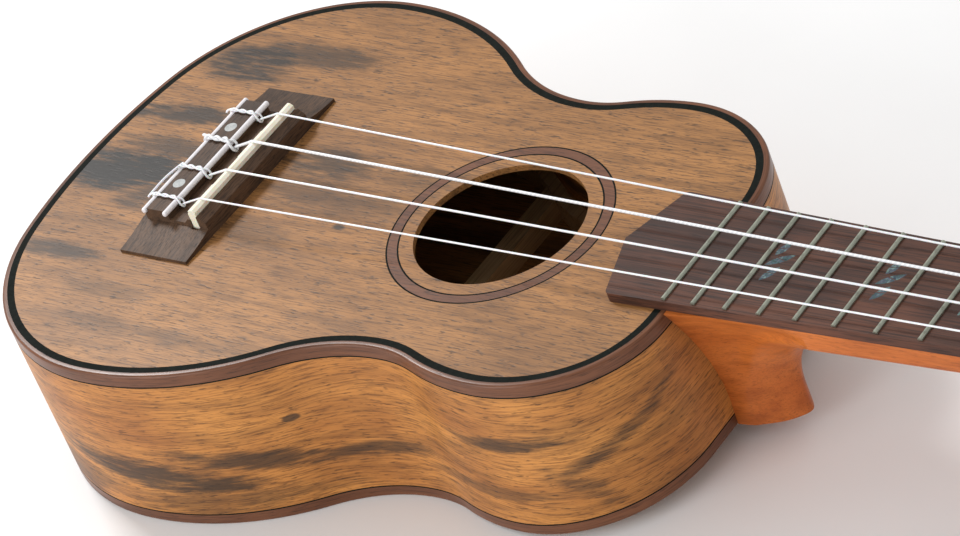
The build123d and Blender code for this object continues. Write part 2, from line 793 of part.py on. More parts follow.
with BuildPart() as bridge:
    with BuildSketch(Plane.YZ.offset(bridge_rear)):
        with BuildLine():
            wing = ThreePointArc(
                (core_half, top + wing_root_height),
                ((core_half + bridge_width / 2) / 2, top + (wing_root_height + wing_tip_height) / 2 - 0.35),
                (bridge_width / 2, top + wing_tip_height),
            )
            Polyline(wing @ 1, (bridge_width / 2, top), (0, top))
            mirror(about=Plane.YZ)
            Line(wing @ 0, (-core_half, top + wing_root_height))
        make_face()
    extrude(amount=bridge_behind_saddle + bridge_before_saddle)
    with BuildSketch(Plane.XZ):
        with BuildLine():
            Polyline(
                (tie_rear, top), (tie_rear, tie_top), (tie_front, tie_top),
                (tie_front, top + channel_floor), (slot[0] - 2.6, top + channel_floor),
                (slot[0] - 0.9, top + rear_shoulder), (slot[0], top + rear_shoulder),
                (slot[0], top + saddle_shoulder), (slot[1] + facet_shelf, top + saddle_shoulder),
                (bridge_front - 0.2, top + facet_low), (bridge_front, top), (tie_rear, top),
            )
        make_face()
    extrude(amount=core_half, both=True)
    with BuildSketch(Plane.XZ):
        with Locations((saddle_x, top + saddle_slot_floor)):
            Rectangle(saddle_thickness, saddle_shoulder, align=(Align.CENTER, Align.MIN))
    extrude(amount=core_half + 1, both=True, mode=Mode.SUBTRACT)
    strip_middle = tie_strip_size / 2 - 0.35
    strip_z = tie_top - strip_middle
    strip_places = [(tie_rear + strip_middle, strip_z), (tie_front - strip_middle, strip_z)]
    with BuildSketch(Plane.XZ):
        with Locations(*strip_places):
            Circle(tie_strip_size / 2)
    extrude(amount=core_half + 1, both=True, mode=Mode.SUBTRACT)
    for index in range(len(string_names)):
        with BuildSketch(Plane.YZ.offset(tie_rear - 1)):
            with Locations((spread(string_spread_at_saddle, index), top + string_hole_height)):
                Circle(string_hole_radius)
        extrude(amount=tie_block_length + 2, mode=Mode.SUBTRACT)
    with Locations(*[(x, y, tie_top) for x, y in dot_places]):
        Hole(bridge_dot_radius, depth=bridge_dot_depth)

with BuildPart() as bridge_dots:
    with BuildSketch(Plane.XY.offset(tie_top)):
        with Locations(*dot_places):
            Circle(bridge_dot_radius)
    extrude(amount=-bridge_dot_depth)


def tie_strip(place):
    """A round strip let into a corner of the tie block, a little proud of it."""
    with BuildPart() as strip:
        with BuildSketch(Plane.XZ):
            with Locations(place):
                Circle(tie_strip_size / 2)
        extrude(amount=core_half + tie_strip_overhang, both=True)
        fillet(strip.edges().filter_by(GeomType.CIRCLE), radius=0.6)
    return strip


rear_strip = tie_strip(strip_places[0])
front_strip = tie_strip(strip_places[1])

with BuildPart() as saddle:
    saddle_low = top + saddle_slot_floor
    thickest = max(string_diameters.values())
    crown = top + string_height_at_saddle - thickest / 2 - nut_slot_clearance
    with BuildSketch(Plane.XZ):
        with BuildLine():
            Polyline(
                (slot[0], saddle_low), (slot[1], saddle_low), (slot[1], crown - 0.7),
                (saddle_x + 0.5, crown), (saddle_x - 0.5, crown), (slot[0], crown - 0.5),
                (slot[0], saddle_low),
            )
        make_face()
    extrude(amount=core_half - saddle_end_gap, both=True)
    notch_edges = (-core_half, *saddle_notch_edges, core_half)
    for index, depth in enumerate(saddle_notches):
        with BuildSketch(Plane.XZ.offset(-notch_edges[index])):
            with Locations((slot[0], crown - saddle_notch_drop)):
                Rectangle(depth, 2 * saddle_notch_drop, align=(Align.MIN, Align.MIN))
        extrude(amount=notch_edges[index] - notch_edges[index + 1], mode=Mode.SUBTRACT)


# =================================================================== strings
def taut_path(points, radii):
    """Straight runs joined by tangent arcs, one radius for each inner point."""
    points = [Vector(*point) for point in points]
    here = points[0]
    for before, corner, after, radius in zip(points, points[1:], points[2:], radii):
        arrive = (corner - before).normalized()
        leave = (after - corner).normalized()
        half = acos(max(-1.0, min(1.0, arrive.dot(leave)))) / 2
        start = corner - arrive * (radius * tan(half))
        end = corner + leave * (radius * tan(half))
        middle = corner + (leave - arrive).normalized() * (radius / cos(half) - radius)
        Line(here, start)
        ThreePointArc(start, middle, end)
        here = end
    Line(here, points[-1])


def string(index, name, place):
    """One string: tied over the block, over the saddle and the nut, then wound on its post."""
    diameter = string_diameters[name]
    radius = diameter / 2
    along, across, turn = place
    y_saddle = spread(string_spread_at_saddle, index)
    y_nut = spread(string_spread_at_nut, index)
    over_tie = strip_places[1][1] + tie_strip_size / 2 + radius + string_clearance
    behind = strip_places[0][0] - tie_strip_size / 2 - radius - string_clearance
    hole_z = top + string_hole_height
    wind_radius = post_waist + 0.1 + radius
    height = faceplate_thickness + post_string_height
    wound = head_place(along - 3.2, across - turn * wind_radius, height)
    route = [
        (tie_front + 0.6, y_saddle, over_tie), (behind, y_saddle, over_tie), (behind, y_saddle, hole_z),
        (tie_front + 1.0, y_saddle, hole_z), (saddle_x - 0.3, y_saddle, top + string_height_at_saddle),
        (nut_back - 0.4, y_nut, string_z(nut_back)), tuple(wound),
    ]
    with BuildPart() as piece:
        with BuildLine() as path:
            taut_path(route, string_bends)
        start = path.line @ 0
        with BuildSketch(Plane(origin=start, z_dir=path.line % 0)):
            Circle(radius)
        sweep()
        wound_low = head_place(along, across, height - 1.5 * diameter)
        with BuildSketch(Plane(origin=wound_low, z_dir=head.z_dir)):
            Circle(wind_radius + radius)
            Circle(wind_radius - radius, mode=Mode.SUBTRACT)
        extrude(amount=3 * diameter)
    return piece


# =================================================================== tuners
wheel_pitch_radius = wheel_teeth * worm_pitch / (2 * pi)
centre_distance = wheel_pitch_radius + worm_pitch_radius
face_height = head_thickness + faceplate_thickness      # over the headstock's back
gear_z = -gear_drop
wheel_low = gear_z - wheel_thickness / 2
wheel_high = gear_z + wheel_thickness / 2
flank = tan(radians(20))

with BuildPart() as post_form:
    with BuildSketch(Plane.XZ):
        with BuildLine():
            waist = face_height + post_string_height
            end = face_height + post_above_face
            Polyline(
                (0, wheel_low - 0.5), (2.5, wheel_low - 0.5), (2.5, wheel_low), (wheel_bore, wheel_low),
                (wheel_bore, wheel_high), (post_radius, wheel_high), (post_radius, waist - 3),
                (post_waist, waist - 2), (post_waist, waist + 2), (post_radius, waist + 3),
                (post_radius, end - 0.6), (post_radius - 0.6, end), (0, end), (0, wheel_low - 0.5),
            )
        make_face()
    revolve(axis=Axis.Z)
    with BuildSketch(Plane.YZ.offset(-reach / 2)):
        with Locations((0, waist)):
            Circle(0.6)
    extrude(amount=reach, mode=Mode.SUBTRACT)

with BuildPart() as wheel_form:
    tip = wheel_pitch_radius + wheel_tip_over_pitch
    root = wheel_pitch_radius - wheel_root_under_pitch
    with BuildSketch(Plane.XY.offset(wheel_low)):
        Circle(root)
        for number in range(wheel_teeth):
            with BuildLine(Plane.XY.rotated((0, 0, (number + 0.5) * 360 / wheel_teeth))):
                half_tip = 0.35 - wheel_tip_over_pitch * flank
                half_root = 0.35 + wheel_root_under_pitch * flank
                Polyline((root - 0.3, half_root), (root, half_root), (tip, half_tip), (tip, -half_tip),
                         (root, -half_root), (root - 0.3, -half_root), (root - 0.3, half_root))
            make_face()
        Circle(wheel_bore, mode=Mode.SUBTRACT)
    extrude(amount=wheel_thickness)

shaft_inner = lug_inner + lug_thickness + 0.8
head_widest = head_waist_width / 2 + head_swell
button_start = head_widest - min(post_sides) + button_gap
button_middle = button_start + button_half_size[0]

with BuildPart() as worm_form:
    with BuildSketch(Plane.XY.offset(-lug_inner + 0.1)):
        Circle(worm_core_radius)
    extrude(amount=2 * lug_inner - 0.2)
    with BuildSketch(Plane.XY.offset(-shaft_inner)):
        Circle(worm_shaft_radius)
    extrude(amount=shaft_inner + button_middle)
    with BuildLine() as thread_path:
        Helix(worm_pitch, worm_thread_length, worm_core_radius, center=(0, 0, -worm_thread_length / 2))
    over_core = worm_tip_radius - worm_core_radius
    half_crest = 0.3 - (worm_tip_radius - worm_pitch_radius) * flank
    half_base = 0.3 + (worm_pitch_radius - worm_core_radius) * flank
    with BuildSketch(Plane(origin=thread_path.line @ 0, x_dir=(1, 0, 0), z_dir=(0, 1, 0))):
        with BuildLine():
            Polyline((-0.15, half_base), (0, half_base), (over_core, half_crest), (over_core, -half_crest),
                     (0, -half_base), (-0.15, -half_base), (-0.15, half_base))
        make_face()
    sweep(path=thread_path.line, is_frenet=True)

with BuildPart() as button_form:
    with BuildSketch(Plane.XZ):
        with Locations((0, button_middle)):
            Ellipse(button_half_size[0], button_half_size[1])
    extrude(amount=button_half_size[2], both=True)
    fillet(button_form.edges(), radius=button_round)
    with BuildSketch(Plane.XY.offset(button_start)):
        Circle(button_neck_radius)
    extrude(amount=3)
    with BuildSketch(Plane.XY.offset(button_start)):
        Circle(worm_shaft_radius)
    extrude(amount=button_half_size[0], mode=Mode.SUBTRACT)

with BuildPart() as plate_form:
    with BuildSketch():
        with Locations((2.6, 0)):
            RectangleRounded(plate_length, plate_width, 2.0)
    extrude(amount=-plate_thickness)
    with BuildSketch(Plane.XZ):
        with Locations((centre_distance, -plate_thickness)):
            Rectangle(2 * lug_radius, gear_drop - plate_thickness, align=(Align.CENTER, Align.MAX))
        with Locations((centre_distance, gear_z)):
            Circle(lug_radius)
    extrude(amount=lug_inner + lug_thickness, both=True)
    with BuildSketch(Plane.XY.offset(-plate_thickness)):
        with Locations((centre_distance, 0)):
            Rectangle(6.0, 2 * lug_inner)
    extrude(amount=-2 * gear_drop, mode=Mode.SUBTRACT)
    with BuildSketch(Plane.XZ.offset(-lug_inner - 2)):
        with Locations((centre_distance, gear_z)):
            Circle(worm_shaft_radius + lug_clearance)
    extrude(amount=2 * lug_inner + 4, mode=Mode.SUBTRACT)
    Hole(post_hole)
    with Locations(*[(x, 0, 0) for x in screw_places]):
        Hole(screw_radius)

with BuildPart() as bushing_form:
    with BuildSketch(Plane.XY.offset(face_height)):
        Circle(bushing_radius)
    extrude(amount=bushing_rim)
    fillet(bushing_form.edges().group_by(Axis.Z)[-1], radius=0.4)
    with BuildSketch(Plane.XY.offset(face_height - bushing_length)):
        Circle(bushing_sleeve_radius)
    extrude(amount=bushing_length)
    Hole(post_radius + post_bore_clearance)

with BuildPart() as screw_form:
    for x in screw_places:
        with BuildSketch(Plane.XY.offset(-plate_thickness)):
            with Locations((x, 0)):
                Circle(screw_radius)
        extrude(amount=plate_thickness + screw_length)
        with BuildSketch(Plane.XY.offset(-plate_thickness)):
            with Locations((x, 0)):
                Circle(screw_head_radius)
        extrude(amount=-screw_head_height)
        with BuildSketch(Plane.XY.offset(-plate_thickness - screw_head_height)):
            with Locations((x, 0)):
                Rectangle(0.5, 2.4)
                Rectangle(2.4, 0.5)
        extrude(amount=0.6, mode=Mode.SUBTRACT)

tuner_planes = [
    Plane(origin=head_place(along, across, -head_thickness), x_dir=head.x_dir, z_dir=head.z_dir)
    for along, across, turn in tuner_places
]


def placed(form, planes):
    """Copies of a form, one in each plane's frame."""
    with BuildPart() as copies:
        with Locations(*planes):
            add(form.part)
    return copies


for name, plane, (along, across, turn) in zip(tuner_names, tuner_planes, tuner_places):
    # the worm lies beside the wheel and runs out past the headstock's side
    centre = plane.from_local_coords((centre_distance, 0, gear_z))
    worm_plane = Plane(origin=centre, x_dir=-plane.x_dir, z_dir=(0, turn, 0))
    finish(placed(post_form, [plane]), f"post_{name}")
    finish(placed(wheel_form, [plane]), f"wheel_{name}")
    finish(placed(worm_form, [worm_plane]), f"worm_{name}")
    finish(placed(button_form, [worm_plane]), f"button_{name}")

tuner_plates = placed(plate_form, tuner_planes)
tuner_bushings = placed(bushing_form, tuner_planes)
tuner_screws = placed(screw_form, tuner_planes)

string_posts = (0, 2, 3, 1)     # the tuner that each string goes to, from treble to bass
for index, name in enumerate(string_names):
    finish(string(index, name, tuner_places[string_posts[index]]), name)

for piece, name in (
    (soundboard, "soundboard"), (rosette_ring, "rosette_ring"), (rosette_lines, "rosette_lines"),
    (top_purfling, "top_purfling"), (top_binding, "top_binding"),
    (top_side_line, "top_side_line"), (end_graft, "end_graft"), (side_treble, "side_treble"),
    (side_bass, "side_bass"), (back_side_line, "back_side_line"),
    (back_binding, "back_binding"), (back, "back"), (top_lining, "top_lining"),
    (back_lining, "back_lining"), (neck_block, "neck_block"), (tail_block, "tail_block"),
    (cross_braces, "cross_braces"), (bridge_plate, "bridge_plate"),
    (fan_braces, "fan_braces"), (back_braces, "back_braces"), (back_strip, "back_strip"),
    (neck_shaft, "neck_shaft"), (heel_block, "heel_block"), (neck_dowels, "neck_dowels"),
    (headstock, "headstock"), (faceplate, "faceplate"), (fretboard, "fretboard"),
    (frets, "frets"), (nut, "nut"), (inlays, "inlays"), (side_dots, "side_dots"),
    (bridge, "bridge"), (saddle, "saddle"), (rear_strip, "rear_tie_strip"),
    (front_strip, "front_tie_strip"), (bridge_dots, "bridge_dots"),
    (tuner_plates, "tuner_plates"), (tuner_bushings, "tuner_bushings"),
    (tuner_screws, "tuner_screws"),
):
    finish(piece, name)
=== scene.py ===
# %% [markdown]
# # A small ukulele in figured wood
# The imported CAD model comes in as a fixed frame: every board, fret and gear is already in its place,
# in metres, with +X towards the headstock, +Y towards the bass side and +Z out of the soundboard.
# This lesson gives each piece its finish, and makes again, as fine surfaces, the pieces whose grain
# has to follow a curve: the bent sides, their bindings, and the strings with their knots.

# %% Load the frame
import json
from math import cos, pi, radians, sin, sqrt

import bpy
import bmesh
import numpy as np
from mathutils import Matrix, Vector


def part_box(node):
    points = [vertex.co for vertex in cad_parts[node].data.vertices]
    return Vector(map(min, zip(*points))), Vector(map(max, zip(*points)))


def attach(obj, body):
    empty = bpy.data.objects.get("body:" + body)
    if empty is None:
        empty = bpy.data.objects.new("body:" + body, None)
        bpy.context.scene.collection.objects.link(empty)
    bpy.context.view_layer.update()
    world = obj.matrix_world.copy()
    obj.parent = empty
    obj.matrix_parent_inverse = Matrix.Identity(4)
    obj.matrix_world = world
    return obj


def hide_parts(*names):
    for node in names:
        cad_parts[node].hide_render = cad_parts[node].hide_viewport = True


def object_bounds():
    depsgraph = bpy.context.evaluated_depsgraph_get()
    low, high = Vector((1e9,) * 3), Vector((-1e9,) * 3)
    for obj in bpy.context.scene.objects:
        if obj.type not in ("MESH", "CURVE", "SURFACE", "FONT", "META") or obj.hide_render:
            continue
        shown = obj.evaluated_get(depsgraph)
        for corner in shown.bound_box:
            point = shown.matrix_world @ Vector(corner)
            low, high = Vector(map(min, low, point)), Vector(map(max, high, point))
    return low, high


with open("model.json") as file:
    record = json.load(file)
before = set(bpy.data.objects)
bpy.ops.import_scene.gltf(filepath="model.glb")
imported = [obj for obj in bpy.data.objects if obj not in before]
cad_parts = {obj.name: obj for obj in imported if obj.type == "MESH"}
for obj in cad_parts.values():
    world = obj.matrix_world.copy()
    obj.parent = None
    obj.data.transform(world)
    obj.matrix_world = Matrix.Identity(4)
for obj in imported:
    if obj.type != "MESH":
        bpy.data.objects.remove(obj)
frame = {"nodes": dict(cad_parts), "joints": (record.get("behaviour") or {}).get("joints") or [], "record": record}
cad_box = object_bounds()
nodes = frame["nodes"]
mm = 0.001
print("nodes:", len(nodes), "overall, mm:", [round(side / mm) for side in cad_box[1] - cad_box[0]])

# %% [markdown]
# ## Places taken from the frame
# Everything that is made here must meet the CAD pieces, so the lengths that can be read from the
# boxes of the nodes are read, and only the sizes that a box can't show are written down.

# %% Sizes of the body
body_low, body_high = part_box("back_binding")
tail_end, neck_end = body_low.x, body_high.x
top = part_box("soundboard")[1].z
lower_bout_width = body_high.y - body_low.y
lower_bout_from_tail = 69.5 * mm
waist_width = 118.2 * mm
waist_from_neck = 82.0 * mm
upper_bout_width = 131.5 * mm
upper_bout_from_neck = 44.4 * mm
neck_seat_width = 50.2 * mm
arc_shares = (0.353, 1.768, 0.49, 0.955)
back_flat_end = 42.7 * mm
back_radius = 467.0 * mm
side_thickness = 1.8 * mm
graft_half_width = 4.0 * mm
line_thickness = 0.5 * mm
binding_round = 0.8 * mm
top_binding_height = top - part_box("top_binding")[0].z
back_binding_height = 3.8 * mm
print("body, mm:", round((neck_end - tail_end) / mm, 1), "x", round(lower_bout_width / mm, 1))

# %% [markdown]
# ## The camera
# A long lens from the treble side, above and in front, rolled so that the body climbs the view.

# %% Place the camera
def look_at(azimuth, elevation, roll, distance, target, shift_right, shift_up):
    """Camera matrix. The axis towards the camera is (sin a cos e, -cos a cos e, sin e); the right and
    up axes are turned about it by the roll, and the target sits off centre by the two shifts."""
    back_axis = Vector((sin(azimuth) * cos(elevation), -cos(azimuth) * cos(elevation), sin(elevation)))
    level = (-back_axis).cross(Vector((0, 0, 1))).normalized()
    upright = level.cross(-back_axis)
    right = level * cos(roll) + upright * sin(roll)
    up = upright * cos(roll) - level * sin(roll)
    place = target - right * shift_right - up * shift_up + back_axis * distance
    turned = Matrix((right, up, back_axis)).transposed().to_4x4()
    return Matrix.Translation(place) @ turned


view_target = Vector((neck_end - 80.6 * mm, 0, top))
camera_data = bpy.data.cameras.new("camera")
camera_data.lens = 161.04
camera_data.sensor_width = 36
camera = bpy.data.objects.new("camera", camera_data)
bpy.context.collection.objects.link(camera)
camera.matrix_world = look_at(0.8371, 0.6167, -0.3873, 1.29544, view_target, 2.87 * mm, 13.96 * mm)
bpy.context.scene.camera = camera
print("camera at", [round(value, 3) for value in camera.location])

# %% [markdown]
# ## Helpers for node trees
# A material is a small network. These helpers keep the networks readable: one makes a node and fills
# its sockets, one opens a shader group with named inputs and outputs, and one opens a material.

# %% Node helpers
def add_node(tree, kind, sockets=(), **settings):
    """A node with its settings, and each given socket set to a value or linked from another socket."""
    node = tree.nodes.new("ShaderNode" + kind)
    for name, value in settings.items():
        setattr(node, name, value)
    for key, value in dict(sockets).items():
        if isinstance(value, bpy.types.NodeSocket):
            tree.links.new(value, node.inputs[key])
        else:
            node.inputs[key].default_value = value
    return node


def math_node(tree, operation, *values, clamp=False):
    """The result of a Math node on up to three values."""
    node = add_node(tree, "Math", enumerate(values), operation=operation, use_clamp=clamp)
    return node.outputs[0]


def scaled(tree, vector, factors):
    """A vector with each of its parts multiplied by a number."""
    return add_node(tree, "VectorMath", {0: vector, 1: factors}, operation="MULTIPLY").outputs[0]


def noise(tree, vector, size=1.0, detail=2.0, rough=0.5):
    """Smooth noise from 0 to 1, of that feature size."""
    sockets = {"Vector": vector, "Scale": 1 / size, "Detail": detail, "Roughness": rough}
    return add_node(tree, "TexNoise", sockets).outputs["Fac"]


def stepped(tree, value, low, high):
    """0 below low, 1 above high, and a smooth step between them."""
    sockets = {"Value": value, "From Min": low, "From Max": high}
    return add_node(tree, "MapRange", sockets, interpolation_type="SMOOTHSTEP").outputs[0]


def blended(tree, share, first, second, kind="MIX"):
    """Two colours mixed by a share."""
    node = add_node(tree, "Mix", data_type="RGBA", blend_type=kind)
    for index, value in ((0, share), (6, first), (7, second)):
        if isinstance(value, bpy.types.NodeSocket):
            tree.links.new(value, node.inputs[index])
        else:
            node.inputs[index].default_value = value
    return node.outputs[2]


def open_group(name, inputs, outputs):
    """A shader group: inputs maps each name to its socket kind and first value."""
    tree = bpy.data.node_groups.new(name, "ShaderNodeTree")
    for label, (kind, value) in inputs.items():
        socket = tree.interface.new_socket(label, in_out="INPUT", socket_type="NodeSocket" + kind)
        if value is not None:
            socket.default_value = value
    for label in outputs:
        tree.interface.new_socket(label, in_out="OUTPUT", socket_type="NodeSocketFloat")
    return tree, tree.nodes.new("NodeGroupInput").outputs, tree.nodes.new("NodeGroupOutput").inputs


def use_group(tree, group, **sockets):
    """A group placed in a tree, with its inputs given by name, underscores for spaces."""
    node = add_node(tree, "Group", node_tree=group)
    for name, value in sockets.items():
        target = node.inputs[name.replace("_", " ")]
        if isinstance(value, bpy.types.NodeSocket):
            tree.links.new(value, target)
        else:
            target.default_value = value
    return node.outputs


def open_material(name, **constants):
    """An empty material: its tree, and its Principled BSDF with constants on its own sockets."""
    made = bpy.data.materials.new(name)
    made.use_nodes = True
    tree = made.node_tree
    shader = tree.nodes["Principled BSDF"]
    for label, value in constants.items():
        shader.inputs[label.replace("_", " ")].default_value = value
    return made, tree, shader


def colour(red, green, blue):
    """A linear colour from three everyday values of 0 to 255."""
    parts = np.array([red, green, blue]) / 255
    linear = np.where(parts > 0.04045, ((parts + 0.055) / 1.055) ** 2.4, parts / 12.92)
    return (*linear.tolist(), 1.0)


# %% [markdown]
# ## Shared effects
# **Grain** turns a place along, across and through the board into long dark lines, short open pores
# and slow bands. It is one group, used by every wood with its own length and fineness.
# ** Smoke** is the soft black staining of this figured wood, and on the top one patch is partly a painted shadow: one stretched, ragged patch.
# **Dust** is a faint uneven film that breaks up every gloss.

# %% Grain group
grain, given, result = open_group(
    "grain",
    {"Vector": ("Vector", None), "Line width": ("Float", 0.6 * mm), "Line length": ("Float", 14 * mm),
     "Wander": ("Float", 2.0 * mm)},
    ("Lines", "Pores", "Bands", "Cloud"),
)
slow = scaled(grain, given["Vector"], (12.0, 30.0, 30.0))
drift = math_node(grain, "MULTIPLY", math_node(grain, "SUBTRACT", noise(grain, slow, 1.0, 2.0), 0.5),
                  given["Wander"])
along_x = add_node(grain, "SeparateXYZ", {0: given["Vector"]}).outputs
bent = add_node(grain, "CombineXYZ", {0: along_x[0], 1: math_node(grain, "ADD", along_x[1], drift),
                                      2: along_x[2]}).outputs[0]
per_length = math_node(grain, "DIVIDE", 1.0, given["Line length"])
per_width = math_node(grain, "DIVIDE", 1.0, given["Line width"])
stretch = add_node(grain, "CombineXYZ", {0: per_length, 1: per_width, 2: per_width}).outputs[0]
fine = add_node(grain, "VectorMath", {0: bent, 1: stretch}, operation="MULTIPLY").outputs[0]
grain.links.new(stepped(grain, noise(grain, fine, 1.0, 3.0, 0.65), 0.44, 0.68), result["Lines"])
pore_place = scaled(grain, fine, (2.2, 0.8, 0.8))
grain.links.new(stepped(grain, noise(grain, pore_place, 1.0, 2.0, 0.6), 0.56, 0.7), result["Pores"])
band_place = scaled(grain, fine, (0.22, 0.13, 0.13))
grain.links.new(noise(grain, band_place, 1.0, 3.0, 0.55), result["Bands"])
grain.links.new(noise(grain, scaled(grain, bent, (16.0, 38.0, 38.0)), 1.0, 3.0, 0.6), result["Cloud"])

# %% Smoke group
smoke, given, result = open_group(
    "smoke",
    {"Vector": ("Vector", None), "Place": ("Vector", (0.0, 0.0, 0.0)), "Half length": ("Float", 20 * mm),
     "Half width": ("Float", 4 * mm), "Lean": ("Float", 0.0)},
    ("Mask",),
)
from_place = add_node(smoke, "VectorMath", {0: given["Vector"], 1: given["Place"]},
                      operation="SUBTRACT").outputs[0]
part = add_node(smoke, "SeparateXYZ", {0: from_place}).outputs
ragged = math_node(smoke, "SUBTRACT", noise(smoke, scaled(smoke, given["Vector"], (70.0, 520.0, 520.0)),
                                            1.0, 4.0, 0.7), 0.5)
torn = math_node(smoke, "SUBTRACT", noise(smoke, scaled(smoke, given["Vector"], (28.0, 90.0, 90.0)),
                                          1.0, 2.0), 0.5)
leaned = math_node(smoke, "SUBTRACT", part[1], math_node(smoke, "MULTIPLY", part[0], given["Lean"]))
shares = [math_node(smoke, "DIVIDE", part[0], given["Half length"]),
          math_node(smoke, "DIVIDE", leaned, given["Half width"])]
squares = [math_node(smoke, "MULTIPLY", share, share) for share in shares]
radius_share = math_node(smoke, "ADD", squares[0], squares[1])
fine_tear, broad_tear = 4.2, 3.4
tear = math_node(smoke, "ADD", math_node(smoke, "MULTIPLY", ragged, fine_tear),
                 math_node(smoke, "MULTIPLY", torn, broad_tear))
roughened = math_node(smoke, "ADD", radius_share, tear)
patch_edge, patch_heart = 1.9, 0.1
smoke.links.new(stepped(smoke, roughened, patch_edge, patch_heart), result["Mask"])

# %% Dust group
dust, given, result = open_group(
    "dust",
    {"Vector": ("Vector", None), "Base": ("Float", 0.4), "Spread": ("Float", 0.1)},
    ("Roughness",),
)
film_size = 9 * mm
film = noise(dust, given["Vector"], film_size, 4.0, 0.7)
centred = math_node(dust, "SUBTRACT", film, 0.5)
dust.links.new(math_node(dust, "MULTIPLY_ADD", centred, given["Spread"], given["Base"], clamp=True),
               result["Roughness"])
print("groups:", [group.name for group in bpy.data.node_groups])

# %% [markdown]
# ## Woods
# A flat board can take its pattern straight from its place in the room, with the grain along X or Y.
# A bent side can't: its grain follows the bend, so it reads a map laid along the surface, in metres.
# One function makes every wood from its colours, and a list of smoke patches where it has them.

# %% Wood maker
def surface_place(tree, kind, turned=False):
    """Where the pattern is read: the object's own metres or its map, with the grain along X or Y."""
    source = add_node(tree, "UVMap", uv_map="along") if kind == "UV" else add_node(tree, "TexCoord")
    place = source.outputs["UV" if kind == "UV" else "Object"]
    if not turned:
        return place
    parts = add_node(tree, "SeparateXYZ", {0: place}).outputs
    return add_node(tree, "CombineXYZ", {0: parts[1], 1: parts[0], 2: parts[2]}).outputs[0]


def smoke_and_shadow_share(tree, place, patches):
    """The darkest of all the smoke patches at a place; on the top one of them is partly a painted shadow of the
    bridge.
    """
    total = None
    for x, y, half_x, half_y, lean, strength in patches:
        patch = use_group(tree, smoke, Vector=place, Place=(x * mm, y * mm, 0), Half_length=half_x * mm,
                          Half_width=half_y * mm, Lean=lean)
        mask = math_node(tree, "MULTIPLY", patch["Mask"], strength)
        total = mask if total is None else math_node(tree, "MAXIMUM", total, mask)
    return total


def wood(name, tones, kind="Object", turned=False, line=(0.6, 14.0), wander=2.0, gloss=0.42,
         depth=0.04, patches=(), stain_and_shade=None, line_strength=0.6, pore_strength=0.5):
    """A wood from four tones: pale, warm, line and pore. Line is the width and length of its grain
    lines, and wander and depth are in millimetres too."""
    made, tree, shader = open_material(name, Specular_IOR_Level=0.3)
    place = surface_place(tree, kind, turned)
    figure = use_group(tree, grain, Vector=place, Line_width=line[0] * mm, Line_length=line[1] * mm,
                       Wander=wander * mm)
    pale, warm, dark, pore = [colour(*tone) for tone in tones]
    base = blended(tree, stepped(tree, figure["Cloud"], 0.3, 0.7), pale, warm)
    banded = math_node(tree, "MULTIPLY", stepped(tree, figure["Bands"], 0.42, 0.72), 0.45)
    base = blended(tree, banded, base, dark)
    base = blended(tree, math_node(tree, "MULTIPLY", figure["Lines"], line_strength), base, dark)
    if patches:
        base = blended(tree, smoke_and_shadow_share(tree, place, patches), base, stain_and_shade)
    base = blended(tree, math_node(tree, "MULTIPLY", figure["Pores"], pore_strength), base, pore)
    tree.links.new(base, shader.inputs["Base Color"])
    tree.links.new(use_group(tree, dust, Vector=place, Base=gloss, Spread=0.12)["Roughness"],
                   shader.inputs["Roughness"])
    height = math_node(tree, "MULTIPLY_ADD", figure["Pores"], -1.0,
                       math_node(tree, "MULTIPLY", figure["Lines"], -0.35))
    bump = add_node(tree, "Bump", {"Height": height, "Distance": depth * mm, "Strength": 0.5})
    tree.links.new(bump.outputs[0], shader.inputs["Normal"])
    return made


# %% [markdown]
# ## The figured wood of the body
# Tan, golden where the light goes in, with fine dark lines along the board and black smoke that
# gathers behind the bridge. One patch in front of the bridge is partly smoke and partly painted
# shadow of the bridge. Each patch is a place, half its length and width, a lean, and a strength.

# %% Figured wood
smoke_and_shadow_black = colour(38, 34, 30)
figured_tones = ((182, 128, 74), (154, 108, 64), (88, 60, 38), (44, 31, 22))
soundboard_smoke_and_shadow = (
    (-90, 53, 21, 8, 0.12, 0.95), (-74, 59, 26, 6, 0.1, 0.7), (-98, 24, 28, 4.2, 0.06, 0.9),
    (-92, 9, 20, 4.5, 0.0, 0.75), (-102, -5, 26, 9.5, -0.04, 1.0), (-80, -12, 18, 9, 0.0, 0.75),
    # The first patch below, at x -32 mm in front of the bridge, is partly dark figure and partly painted shadow of
    # the bridge.
    (-32, 13, 22, 6.0, 0.0, 0.8), (-20, -2, 30, 7, 0.0, 0.45), (-36, -22, 16, 6, -0.1, 0.4),
    (-7, -13.5, 2.4, 1.3, 0.0, 0.9), (-100, -45, 17, 3.6, 0.05, 0.8), (-70, -58, 16, 3.0, 0.0, 0.35),
    (6, 12, 18, 6, 0.0, 0.4), (-38, -72, 45, 3.5, 0.0, 0.35), (-96, -30, 20, 3.0, 0.0, 0.25),
)
back_smoke = (
    (-60, 18, 60, 9, 0.05, 0.85), (-60, -18, 60, 9, -0.05, 0.85), (40, 6, 50, 3, 0.0, 0.6),
    (40, -6, 50, 3, 0.0, 0.6), (-10, 50, 40, 5, 0.1, 0.5), (-10, -50, 40, 5, -0.1, 0.5),
)
side_smoke = (                 # along the outline from the tail, and height over the floor
    (140, 20, 34, 5, -0.12, 0.85), (182, 24, 26, 4, -0.2, 0.8), (215, 20, 22, 2.5, 0.05, 0.75),
    (100, 10, 30, 6, 0.1, 0.55), (165, 9, 40, 4, 0.0, 0.5), (285, 38, 22, 2.5, 0.05, 0.8),
    (312, 34, 22, 3.0, 0.4, 0.7), (298, 20, 9, 5, -0.6, 0.6), (270, 17, 30, 2.0, 0.05, 0.5),
    (20, 30, 30, 4, 0.1, 0.5), (196, 37, 2.2, 1.0, 0.0, 0.8),
)
